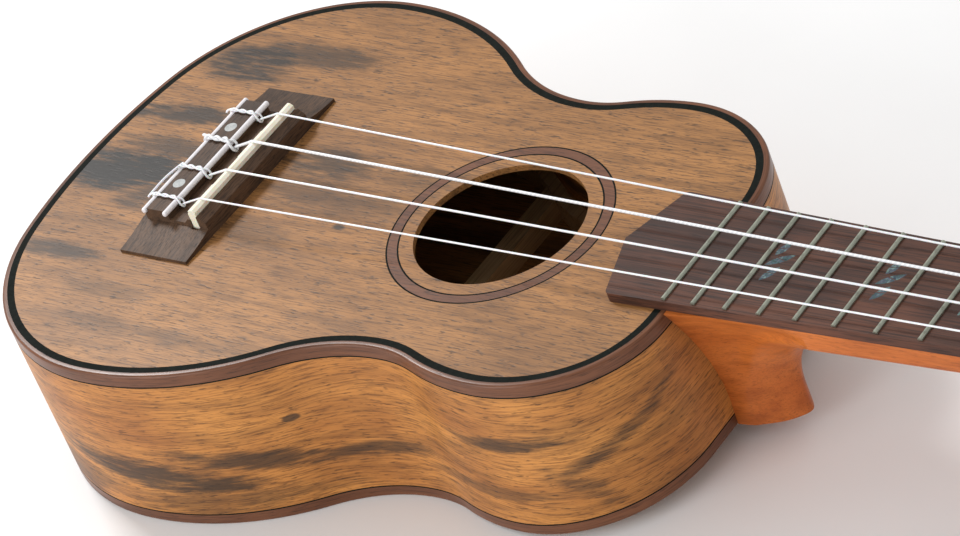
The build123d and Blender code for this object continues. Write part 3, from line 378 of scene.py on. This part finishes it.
top_wood = wood("figured_top", figured_tones, patches=soundboard_smoke_and_shadow, stain_and_shade=smoke_and_shadow_black,
                line=(0.5, 9.0), line_strength=0.72, pore_strength=0.7)
back_wood = wood("figured_back", figured_tones, patches=back_smoke, stain_and_shade=smoke_and_shadow_black)
# The sides are the same figured wood as the top and back; their brighter, more saturated tones are painted light
# from the side fill.
side_tones_with_painted_light = ((206, 140, 70), (170, 108, 52), (92, 56, 30), (44, 28, 18))
side_wood = wood("figured_sides", side_tones_with_painted_light, kind="UV", patches=side_smoke, stain_and_shade=smoke_and_shadow_black,
                 wander=9.0, line=(0.6, 10.0), line_strength=0.7, pore_strength=0.65)
print("smoke patches:", len(soundboard_smoke_and_shadow) + len(side_smoke) + len(back_smoke))

# %% Other woods
rosewood_tones = ((128, 82, 56), (106, 66, 44), (66, 38, 26), (36, 22, 17))
binding_wood = wood("binding_rosewood", rosewood_tones, kind="UV", line=(0.5, 16.0), gloss=0.3,
                    depth=0.02)
rosette_wood = wood("rosette_rosewood", rosewood_tones, line=(0.5, 10.0), gloss=0.4, depth=0.02)
fretboard_tones = ((108, 66, 48), (70, 42, 32), (36, 22, 18), (20, 12, 10))
fretboard_wood = wood("fretboard_rosewood", fretboard_tones, line=(0.55, 26.0), gloss=0.5, depth=0.05,
                      line_strength=0.75)
bridge_tones = ((100, 74, 54), (74, 54, 40), (38, 27, 21), (20, 14, 11))
bridge_wood = wood("bridge_rosewood", bridge_tones, turned=True, line=(0.4, 7.0), gloss=0.55, depth=0.05,
                   line_strength=0.75)
neck_tones = ((206, 116, 52), (180, 92, 36), (134, 62, 22), (100, 46, 20))
neck_wood = wood("neck_mahogany", neck_tones, line=(0.45, 8.0), gloss=0.33, depth=0.015, wander=1.0,
                 line_strength=0.35, pore_strength=0.4)
spruce_tones = ((214, 180, 132), (200, 164, 116), (168, 128, 84), (140, 100, 64))
spruce = wood("inner_spruce", spruce_tones, turned=True, line=(0.8, 60.0), gloss=0.6)

# %% [markdown]
# ## Metal, bone, shell and plastics
# None of these is a single flat colour: bone has faint growth streaks, shell shifts from green to
# violet in ragged cells, and worn metal has fine marks that follow no direction.

# %% Plain finishes
def speckled(name, first, second, size=2.0, rough=(0.3, 0.15), bump_depth=0.005, **constants):
    """A finish that drifts between two close colours, with an uneven gloss and a faint relief."""
    made, tree, shader = open_material(name, **constants)
    place = add_node(tree, "TexCoord").outputs["Object"]
    share = stepped(tree, noise(tree, place, size * mm, 4.0, 0.6), 0.3, 0.7)
    tree.links.new(blended(tree, share, colour(*first), colour(*second)), shader.inputs["Base Color"])
    tree.links.new(use_group(tree, dust, Vector=place, Base=rough[0], Spread=rough[1])["Roughness"],
                   shader.inputs["Roughness"])
    relief = noise(tree, place, size * 0.2 * mm, 3.0)
    bump = add_node(tree, "Bump", {"Height": relief, "Distance": bump_depth * mm, "Strength": 0.4})
    tree.links.new(bump.outputs[0], shader.inputs["Normal"])
    return made


black_fibre = speckled("black_fibre", (26, 30, 26), (18, 21, 18), 1.5, (0.7, 0.2),
                       Specular_IOR_Level=0.06)
bone = speckled("bone", (252, 247, 230), (246, 238, 214), 5.0, (0.3, 0.1), Subsurface_Weight=0.15,
                Subsurface_Scale=0.002)
white_strip = speckled("white_strip", (244, 240, 242), (230, 226, 230), 3.0, (0.32, 0.1))
fret_metal = speckled("nickel_silver", (176, 180, 164), (156, 160, 146), 4.0, (0.34, 0.1), Metallic=0.8)
plated_steel = speckled("plated_steel", (206, 206, 208), (178, 180, 184), 1.2, (0.22, 0.2), Metallic=1.0)
screw_steel = speckled("screw_steel", (170, 170, 172), (130, 130, 134), 0.8, (0.35, 0.2), Metallic=1.0)
brass = speckled("brass", (212, 172, 96), (176, 134, 66), 1.0, (0.3, 0.2), Metallic=1.0)
pearl = speckled("pearl", (196, 198, 196), (168, 172, 172), 1.2, (0.22, 0.1), Coat_Weight=0.4)
button_pearl = speckled("button_pearl", (238, 234, 222), (214, 212, 204), 4.0, (0.18, 0.1),
                        Coat_Weight=0.5)
string_white = speckled("string_white", (250, 250, 252), (236, 238, 244), 2.0, (0.25, 0.1),
                        Subsurface_Weight=0.1, Subsurface_Scale=0.001)


# %% Shell
def shell_finish(name, tones):
    """Cells of shell, each with its own tone, crossed by fine growth lines."""
    made, tree, shader = open_material(name, Coat_Weight=0.6)
    place = add_node(tree, "TexCoord").outputs["Object"]
    swirl = noise(tree, place, 1.6 * mm, 5.0, 0.7)
    ramp = add_node(tree, "ValToRGB", {"Fac": stepped(tree, swirl, 0.25, 0.75)})
    ramp.color_ramp.elements[1].position = 0.3
    for index, tone in enumerate(tones):
        if index >= 2:
            ramp.color_ramp.elements.new(index / (len(tones) - 1))
        ramp.color_ramp.elements[index].color = colour(*tone)
    lines = stepped(tree, noise(tree, scaled(tree, place, (900.0, 300.0, 900.0)), 1.0, 2.0), 0.5, 0.7)
    faint_lines = math_node(tree, "MULTIPLY", lines, 0.5)
    tint = blended(tree, faint_lines, ramp.outputs["Color"], colour(30, 40, 60))
    tree.links.new(tint, shader.inputs["Base Color"])
    tree.links.new(use_group(tree, dust, Vector=place, Base=0.2, Spread=0.1)["Roughness"],
                   shader.inputs["Roughness"])
    return made


shell_tones = ((30, 40, 44), (48, 92, 92), (70, 62, 92), (112, 150, 140), (34, 44, 60))
abalone = shell_finish("abalone", shell_tones)

# %% Paint the CAD nodes
finish_of_slot = {
    "top_wood": top_wood, "side_wood": back_wood, "rosewood": fretboard_wood,
    "binding_rosewood": rosette_wood, "black_fibre": black_fibre, "spruce": spruce,
    "mahogany": neck_wood, "bone": bone, "white_strip": white_strip, "nickel_silver": fret_metal,
    "shell": abalone, "pearl": pearl, "string": string_white, "plated_steel": plated_steel,
    "brass": brass, "screw_steel": screw_steel, "button": button_pearl,
}


def paint(piece, finish):
    """Every face of a piece takes one finish."""
    piece.data.materials.clear()
    piece.data.materials.append(finish)


own_finish = {"bridge": bridge_wood}
for entry in frame["record"]["subparts"]:
    name = entry["node"]
    paint(nodes[name], own_finish.get(name, finish_of_slot[entry["material_slot"]]))

# %% [markdown]
# ## The outline, as pairs of arcs
# A ukulele is bent over a form that was drawn with compasses. Between two stations, two arcs meet with
# one tangent, and everything at the rim follows the same line, moved inwards.

# %% Outline
def biarc(start, start_heading, end, end_heading, ratio):
    """Two arcs that join two points as complex numbers, leaving and arriving along given headings."""
    span = end - start
    turn = (start_heading * end_heading.conjugate()).real - 1
    pull = ratio * start_heading + end_heading
    a, b, c = 2 * ratio * turn, -2 * (span * pull.conjugate()).real, abs(span) ** 2
    second = -c / b if abs(a) < 1e-9 else (-b - sqrt(b * b - 4 * a * c)) / (2 * a)
    first = ratio * second
    corner_1 = start + first * start_heading
    corner_2 = end - second * end_heading
    joint = (second * corner_1 + first * corner_2) / (first + second)
    heading = (corner_2 - corner_1) / abs(corner_2 - corner_1)
    return (start, start_heading, joint), (joint, heading, end)


def arc_points(start, heading, end, count):
    """Points and headings of an arc: the start turned about the centre in even steps."""
    half_turn = np.angle((end - start) / heading)
    radius = abs(end - start) / (2 * np.sin(half_turn))
    centre = start + 1j * heading * radius
    turned = np.exp(2j * half_turn * np.arange(count) / count)
    return centre + (start - centre) * turned, heading * turned


def outline(count=28):
    """Half the outline, from the tail round the bass side to the middle of the neck's seat: places and
    headings as complex numbers, x + iy, and the distance along it."""
    stations = (
        (complex(tail_end, 0), 1j),
        (complex(tail_end + lower_bout_from_tail, lower_bout_width / 2), 1 + 0j),
        (complex(neck_end - waist_from_neck, waist_width / 2), 1 + 0j),
        (complex(neck_end - upper_bout_from_neck, upper_bout_width / 2), 1 + 0j),
        (complex(neck_end, neck_seat_width / 2), -1j),
    )
    runs = []
    for (here, go), (there, arrive), ratio in zip(stations, stations[1:], arc_shares):
        runs += [arc_points(*arc, count) for arc in biarc(here, go, there, arrive, ratio)]
    seat = complex(neck_end, neck_seat_width / 2) - 1j * np.linspace(0, neck_seat_width / 2, 7)
    places = np.concatenate([run[0] for run in runs] + [seat])
    headings = np.concatenate([run[1] for run in runs] + [np.full(7, -1j)])
    along = np.concatenate([[0], np.cumsum(np.abs(np.diff(places)))])
    return places, headings, along


half_places, half_headings, half_along = outline()
print("half outline, mm:", round(half_along[-1] / mm, 1), "points:", len(half_along))


# %% Surfaces on a grid
def grid_mesh(name, points, maps=None, closed=(False, False), caps=False):
    """A mesh from a grid of points, rows by columns. A closed direction joins its last to its first.
    Caps close the first and last row. maps gives each point its place on the map named along."""
    rows, columns = points.shape[:2]
    row, column = np.meshgrid(np.arange(rows - (not closed[0])), np.arange(columns - (not closed[1])),
                              indexing="ij")
    row_on, column_on = (row + 1) % rows, (column + 1) % columns
    quads = np.stack([row * columns + column, row * columns + column_on,
                      row_on * columns + column_on, row_on * columns + column], -1).reshape(-1, 4)
    faces = quads.tolist()
    if caps:
        faces.append(list(range(columns)))
        faces.append(list(range(rows * columns - 1, (rows - 1) * columns - 1, -1)))
    mesh = bpy.data.meshes.new(name)
    mesh.from_pydata(points.reshape(-1, 3).tolist(), [], faces)
    if maps is not None:
        flat = np.zeros((len(mesh.loops), 2), np.float32)
        corners = [maps[row, column], maps[row, column + 1], maps[row + 1, column + 1],
                   maps[row + 1, column]]
        flat[:quads.size] = np.stack(corners, -2).reshape(-1, 2)
        layer = mesh.uv_layers.new(name="along")
        layer.data.foreach_set("uv", flat.ravel())
    mesh.shade_smooth()
    return mesh


def place_piece(name, mesh, finish, body="instrument", stands_for=(), sharp=35):
    """A mesh becomes a piece: outward faces, crisp edges past an angle, its finish and its body."""
    shape = bmesh.new()
    shape.from_mesh(mesh)
    bmesh.ops.recalc_face_normals(shape, faces=shape.faces)
    shape.to_mesh(mesh)
    shape.free()
    mesh.set_sharp_from_angle(angle=radians(sharp))
    piece = bpy.data.objects.new(name, mesh)
    bpy.context.collection.objects.link(piece)
    paint(piece, finish)
    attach(piece, body)
    if stands_for:
        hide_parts(*stands_for)
    return piece


# %% [markdown]
# ## Bent sides, bindings and purfling
# Each is a flat profile carried along the outline. A profile point is how far in it lies and how high
# it stands, over the back or under the top. The back is flat and then rises to the neck in an arc.

# %% Rim pieces
def back_height(x, over):
    """Height of the back's own curve at a place along the body, moved square to itself by over."""
    past = np.clip(x - back_flat_end, 0, None)
    return back_radius - np.sqrt((back_radius - over) ** 2 - past ** 2)


def rim_points(profile, places, headings):
    """Grid of points: for each place of the outline, place + inset * inward square to the heading, at a
    height under the top or over the back. profile rows are inset, height, and 1 for over the back."""
    inset, height, from_back = np.array(profile).T
    flat = places[:, None] - 1j * headings[:, None] * inset[None, :]
    level = np.where(from_back > 0, back_height(flat.real, height[None, :]), top - height[None, :])
    return np.stack([flat.real, flat.imag, level], -1)


def profile_run(points):
    """Distance round a profile, for the map's second direction, closing it."""
    loop = np.vstack([points, points[:1]])
    return np.concatenate([[0], np.cumsum(np.linalg.norm(np.diff(loop, axis=0), axis=1))])


def rim_piece(name, profile, finish, slot, stands_for):
    """A closed band round the whole outline."""
    places = np.concatenate([half_places, half_places[-2:0:-1].conj()])
    headings = np.concatenate([half_headings, -half_headings[-2:0:-1].conj()])
    along = np.concatenate([half_along, 2 * half_along[-1] - half_along[-2::-1]])
    points = rim_points(profile, places, headings)
    round_profile = profile_run(points[0])
    maps = np.stack(np.meshgrid(along, round_profile, indexing="ij"), -1)
    mesh = grid_mesh(name, points, maps, closed=(True, True))
    return place_piece(name, mesh, finish, stands_for=stands_for)


def side_piece(name, profile, finish, stands_for, side):
    """A board round one half of the outline, with its ends closed. Side is 1 for bass, -1 for treble."""
    past_graft = half_along > graft_half_width
    along = np.concatenate([[graft_half_width], half_along[past_graft]])
    places = np.interp(along, half_along, half_places.real) + 1j * np.interp(
        along, half_along, half_places.imag)
    headings = np.interp(along, half_along, half_headings.real) + 1j * np.interp(
        along, half_along, half_headings.imag)
    headings /= np.abs(headings)
    points = rim_points(profile, places, headings)
    if side < 0:
        points[..., 1] *= -1
    level = np.concatenate([points[:, :, 2], points[:, :1, 2]], 1)
    maps = np.stack([np.broadcast_to(along[:, None], level.shape), level], -1)
    mesh = grid_mesh(name, points, maps, closed=(False, True), caps=True)
    return place_piece(name, mesh, finish, stands_for=stands_for)


side_low = back_binding_height + line_thickness
side_top = top_binding_height + line_thickness
corner_turns = np.radians([0, 22.5, 45, 67.5, 90])
rounded_corner = [(binding_round * (1 - cos(turn)), binding_round * (1 - sin(turn)), 0)
                  for turn in corner_turns]
rim_parts = (
    ("top_binding_band", [(0, top_binding_height, 0), *rounded_corner, (side_thickness, 0, 0),
                          (side_thickness, top_binding_height, 0)],
     binding_wood, "binding_rosewood", ["top_binding"]),
    ("top_side_line_band", [(0, side_top, 0), (0, top_binding_height, 0),
                            (side_thickness, top_binding_height, 0), (side_thickness, side_top, 0)],
     black_fibre, "black_fibre", ["top_side_line"]),
    ("back_side_line_band", [(0, back_binding_height, 1), (0, side_low, 1), (side_thickness, side_low, 1),
                             (side_thickness, back_binding_height, 1)],
     black_fibre, "black_fibre", ["back_side_line"]),
    ("back_binding_band", [(binding_round / 2, 0, 1), (0, binding_round / 2, 1),
                           (0, back_binding_height, 1), (side_thickness, back_binding_height, 1),
                           (side_thickness, 0, 1)],
     binding_wood, "binding_rosewood", ["back_binding"]),
)
for part in rim_parts:
    rim_piece(*part)
side_profile = [(0, side_low, 1), (0, side_top, 0), (side_thickness, side_top, 0),
                (side_thickness, side_low, 1)]
side_piece("side_treble_board", side_profile, side_wood, ["side_treble"], -1)
side_piece("side_bass_board", side_profile, side_wood, ["side_bass"], 1)
print("rim pieces:", len(rim_parts) + 2)

# %% [markdown]
# ## Strings
# Each string is one line: its cut end behind the tie block, a twisted pair across the block, a loop
# round itself in front of it, back again, down and through the block, then over the saddle and the
# nut to its post. A circle is carried along that line. Its frame needs a direction that the line
# never follows: across the strings for the run, and out of the headstock round the post.

# %% Paths and tubes
def smooth_path(points, steps=8):
    """A Catmull-Rom curve: between two points, a cubic through both whose slopes are half the spans
    of their neighbours."""
    points = np.asarray(points, float)
    padded = np.vstack([2 * points[0] - points[1], points, 2 * points[-1] - points[-2]])
    before, here, there, after = (padded[k:len(padded) - 3 + k, None, :] for k in range(4))
    t = (np.arange(steps) / steps)[None, :, None]
    curve = 0.5 * (2 * here + (there - before) * t + (2 * before - 5 * here + 4 * there - after) * t ** 2
                   + (3 * here - before - 3 * there + after) * t ** 3)
    return np.vstack([curve.reshape(-1, 3), points[-1:]])


def tube_points(path, radius, uprights, sides=12):
    """Rings round a path: centre + radius * (cos t * N + sin t * B), N the upright direction made
    square to the line, and B square to both."""
    tangent = np.gradient(path, axis=0)
    tangent /= np.linalg.norm(tangent, axis=1, keepdims=True)
    first = uprights - (uprights * tangent).sum(1, keepdims=True) * tangent
    first /= np.linalg.norm(first, axis=1, keepdims=True)
    second = np.cross(tangent, first)
    turn = np.linspace(0, 2 * pi, sides, endpoint=False)[None, :, None]
    around = np.cos(turn) * first[:, None, :] + np.sin(turn) * second[:, None, :]
    return path[:, None, :] + radius * around


def tube_piece(name, path, radius, uprights, finish, stands_for, sides=12):
    """A closed tube with a map: metres along the line, and turns round it."""
    along = np.concatenate([[0], np.cumsum(np.linalg.norm(np.diff(path, axis=0), axis=1))])
    maps = np.stack(np.meshgrid(along, np.linspace(0, 1, sides + 1), indexing="ij"), -1)
    points = tube_points(path, radius, uprights, sides)
    mesh = grid_mesh(name, points, maps, closed=(False, True), caps=True)
    return place_piece(name, mesh, finish, stands_for=stands_for, sharp=60)


# %% String finishes
def wound_finish(name):
    """A fine wrap: ridges that climb round the string, one turn for each wire's width, with painted shade in the
    grooves between them.
    """
    made, tree, shader = open_material(name, Specular_IOR_Level=0.6)
    place = surface_place(tree, "UV")
    parts = add_node(tree, "SeparateXYZ", {0: place}).outputs
    wrap_pitch = 1.6 * mm
    turns = math_node(tree, "MULTIPLY_ADD", parts[0], 1 / wrap_pitch, parts[1])
    wave = math_node(tree, "SINE", math_node(tree, "MULTIPLY", turns, 2 * pi))
    ridge = stepped(tree, wave, -0.4, 0.8)
    # The grooves between the wraps are coloured darker than the ridges: painted shade in the grooves.
    tree.links.new(blended(tree, ridge, colour(232, 234, 238), colour(252, 252, 254)),
                   shader.inputs["Base Color"])
    tree.links.new(use_group(tree, dust, Vector=place, Base=0.3, Spread=0.1)["Roughness"],
                   shader.inputs["Roughness"])
    bump = add_node(tree, "Bump", {"Height": ridge, "Distance": 0.04 * mm, "Strength": 0.6})
    tree.links.new(bump.outputs[0], shader.inputs["Normal"])
    return made


string_wound = wound_finish("string_wound")

# %% Lay the strings
rear_low, rear_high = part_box("rear_tie_strip")
front_low, front_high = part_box("front_tie_strip")
saddle_low, saddle_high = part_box("saddle")
nut_low, nut_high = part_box("nut")
rear_x, front_x = (rear_low.x + rear_high.x) / 2, (front_low.x + front_high.x) / 2
strip_top, strip_radius = front_high.z, (front_high.z - front_low.z) / 2
saddle_x, crown = (saddle_low.x + saddle_high.x) / 2, saddle_high.z
hole_level = top + 5.3 * mm
string_over_nut = top + 4.95 * mm
spread_at_saddle, spread_at_nut = 42.6 * mm, 28.3 * mm
string_radii = {"a": 0.31 * mm, "e": 0.375 * mm, "c": 0.475 * mm, "g": 0.34 * mm}
post_waist = 2.55 * mm
winding_over_gear = 23.8 * mm
winding_turns = 2.6
free_tails = {"a": (-1.2, 0.6), "e": (-15.0, -0.6), "c": (1.6, 0.9), "g": (-1.0, 0.5)}
posts = {joint["name"][-1]: joint for joint in frame["joints"] if joint["name"].startswith("spindle")}


knot_turns = 1.25


def tie_path(y, radius, tail):
    """The knot, from the cut end to the saddle: two strands twisted round one line on the block's top,
    y + a cos t and z + a sin t, half a turn apart, joined by a loop in front and a bend behind."""
    twist_radius = 1.05 * radius
    level = strip_top + radius + twist_radius * 0.8
    share = np.linspace(0, 1, 13)
    run_x = rear_x + (front_x - rear_x) * share
    turn = 2 * pi * knot_turns * share
    sideways, upwards = twist_radius * np.cos(turn), twist_radius * np.sin(turn)
    strand_out = np.stack([run_x, y + sideways, level + upwards], -1)
    strand_back = np.stack([run_x, y - sideways, level - upwards], -1)
    main_level = hole_level + 0.6 * mm
    swing = 2.3 * radius
    loop = [(front_x + 1.5 * mm, y - swing, level - 0.9 * mm),
            (front_x + 2.2 * mm, y - swing, main_level),
            (front_x + 2.4 * mm, y, main_level - 2.6 * radius),
            (front_x + 2.2 * mm, y + swing, main_level),
            (front_x + 1.5 * mm, y + swing, level - 0.9 * mm)]
    drop = rear_x - strip_radius - radius
    behind = [(drop, y, strip_top - 0.6 * mm), (drop - 0.2 * mm, y, hole_level + 0.7 * mm),
              (drop + 0.5 * mm, y, hole_level), (drop + 2.0 * mm, y, hole_level)]
    across, bulge = tail
    cut_end = [(rear_x - (1.7 + abs(bulge)) * mm, y + across * mm, level - 0.9 * mm),
               (rear_x - (1.5 + 0.5 * abs(bulge)) * mm, y + across * 0.45 * mm, level - 0.3 * mm)]
    over_saddle = [(front_x + 0.6 * mm, y, hole_level), (front_x + 2.4 * mm, y, main_level + 0.2 * mm),
                   (saddle_x - 2.4 * mm, y, crown - 0.6 * mm), (saddle_x - 0.2 * mm, y, crown + radius)]
    knot = np.vstack([cut_end, strand_out, loop, strand_back[::-1], behind, over_saddle])
    return smooth_path(knot, 4)


def post_path(y, radius, joint):
    """From the nut to the post, then round it: centre + R (cos t * inwards + sin t * along the head),
    sinking by one string's width for each turn."""
    axis = np.array(joint["axis"], float)
    axis /= np.linalg.norm(axis)
    centre = np.array(joint["pos_m"]) + axis * winding_over_gear
    inward = np.array([0, -np.sign(centre[1]), 0])
    forward = np.cross([0, 1, 0], axis)
    turn = np.linspace(0, 2 * pi * winding_turns, int(28 * winding_turns))[:, None]
    reach = post_waist + radius + 0.1 * mm
    sink = 2.05 * radius * (turn / (2 * pi) - winding_turns / 2)
    coil = centre + reach * (np.cos(turn) * inward + np.sin(turn) * forward) - axis * sink
    over_nut = np.array([[nut_low.x, y, string_over_nut],
                         [nut_high.x - 0.3 * mm, y, string_over_nut - 0.1 * mm]])
    return over_nut, coil, axis


for index, (name, radius) in enumerate(string_radii.items()):
    y_saddle = spread_at_saddle * (index / 3 - 0.5)
    y_nut = spread_at_nut * (index / 3 - 0.5)
    tie = tie_path(y_saddle, radius, free_tails[name])
    over_nut, coil, axis = post_path(y_nut, radius, posts[name])
    taut = np.linspace(tie[-1], over_nut[0], 30)[1:]
    to_post = np.linspace(over_nut[1], coil[0], 10)
    path = np.vstack([tie, taut, to_post, coil[1:]])
    share = np.clip((path[:, :1] - nut_high.x) / (12 * mm), 0, 1)
    uprights = (1 - share) * np.array([[0.0, 1.0, 0.0]]) + share * axis[None, :]
    finish = string_wound if name == "c" else string_white
    tube_piece(f"string_{name}_line", path, radius, uprights, finish, [f"string_{name}"])
print("strings:", len(string_radii))

# %% [markdown]
# ## Floor and light
# A pale floor under the back, one broad light from behind the tail that throws the bridge's shadow
# forwards, a second one low on the treble side for the bent side, and an even sky.

# %% Stage
def floor_piece(half_size=3.0):
    """A flat square under the instrument."""
    edge = np.linspace(-half_size, half_size, 9)
    x, y = np.meshgrid(edge, edge, indexing="ij")
    mesh = grid_mesh("floor", np.stack([x, y, np.full_like(x, cad_box[0].z)], -1))
    floor = bpy.data.objects.new("floor", mesh)
    bpy.context.collection.objects.link(floor)
    return floor


floor = floor_piece()
paint(floor, speckled("floor_paper", (250, 250, 250), (246, 246, 246), 200.0, (0.7, 0.1)))


def area_light(name, direction, distance, size, power):
    """A square light that looks at the body's middle from a direction."""
    data = bpy.data.lights.new(name, "AREA")
    data.size = size
    data.energy = power
    light = bpy.data.objects.new(name, data)
    aim = Vector(direction).normalized()
    light.location = Vector((0, 0, top)) + aim * distance
    light.rotation_euler = aim.to_track_quat("Z", "Y").to_euler()
    bpy.context.collection.objects.link(light)


area_light("key", (-0.8, 0.3, 0.85), 1.3, 0.3, 10)
area_light("side_fill", (-0.3, -1.0, 0.3), 1.4, 1.0, 11)
sky = bpy.data.worlds.new("sky")
sky.use_nodes = True
sky.node_tree.nodes["Background"].inputs["Color"].default_value = (1, 1, 1, 1)
sky.node_tree.nodes["Background"].inputs["Strength"].default_value = 0.62
bpy.context.scene.world = sky
bpy.context.scene.view_settings.view_transform = "Standard"
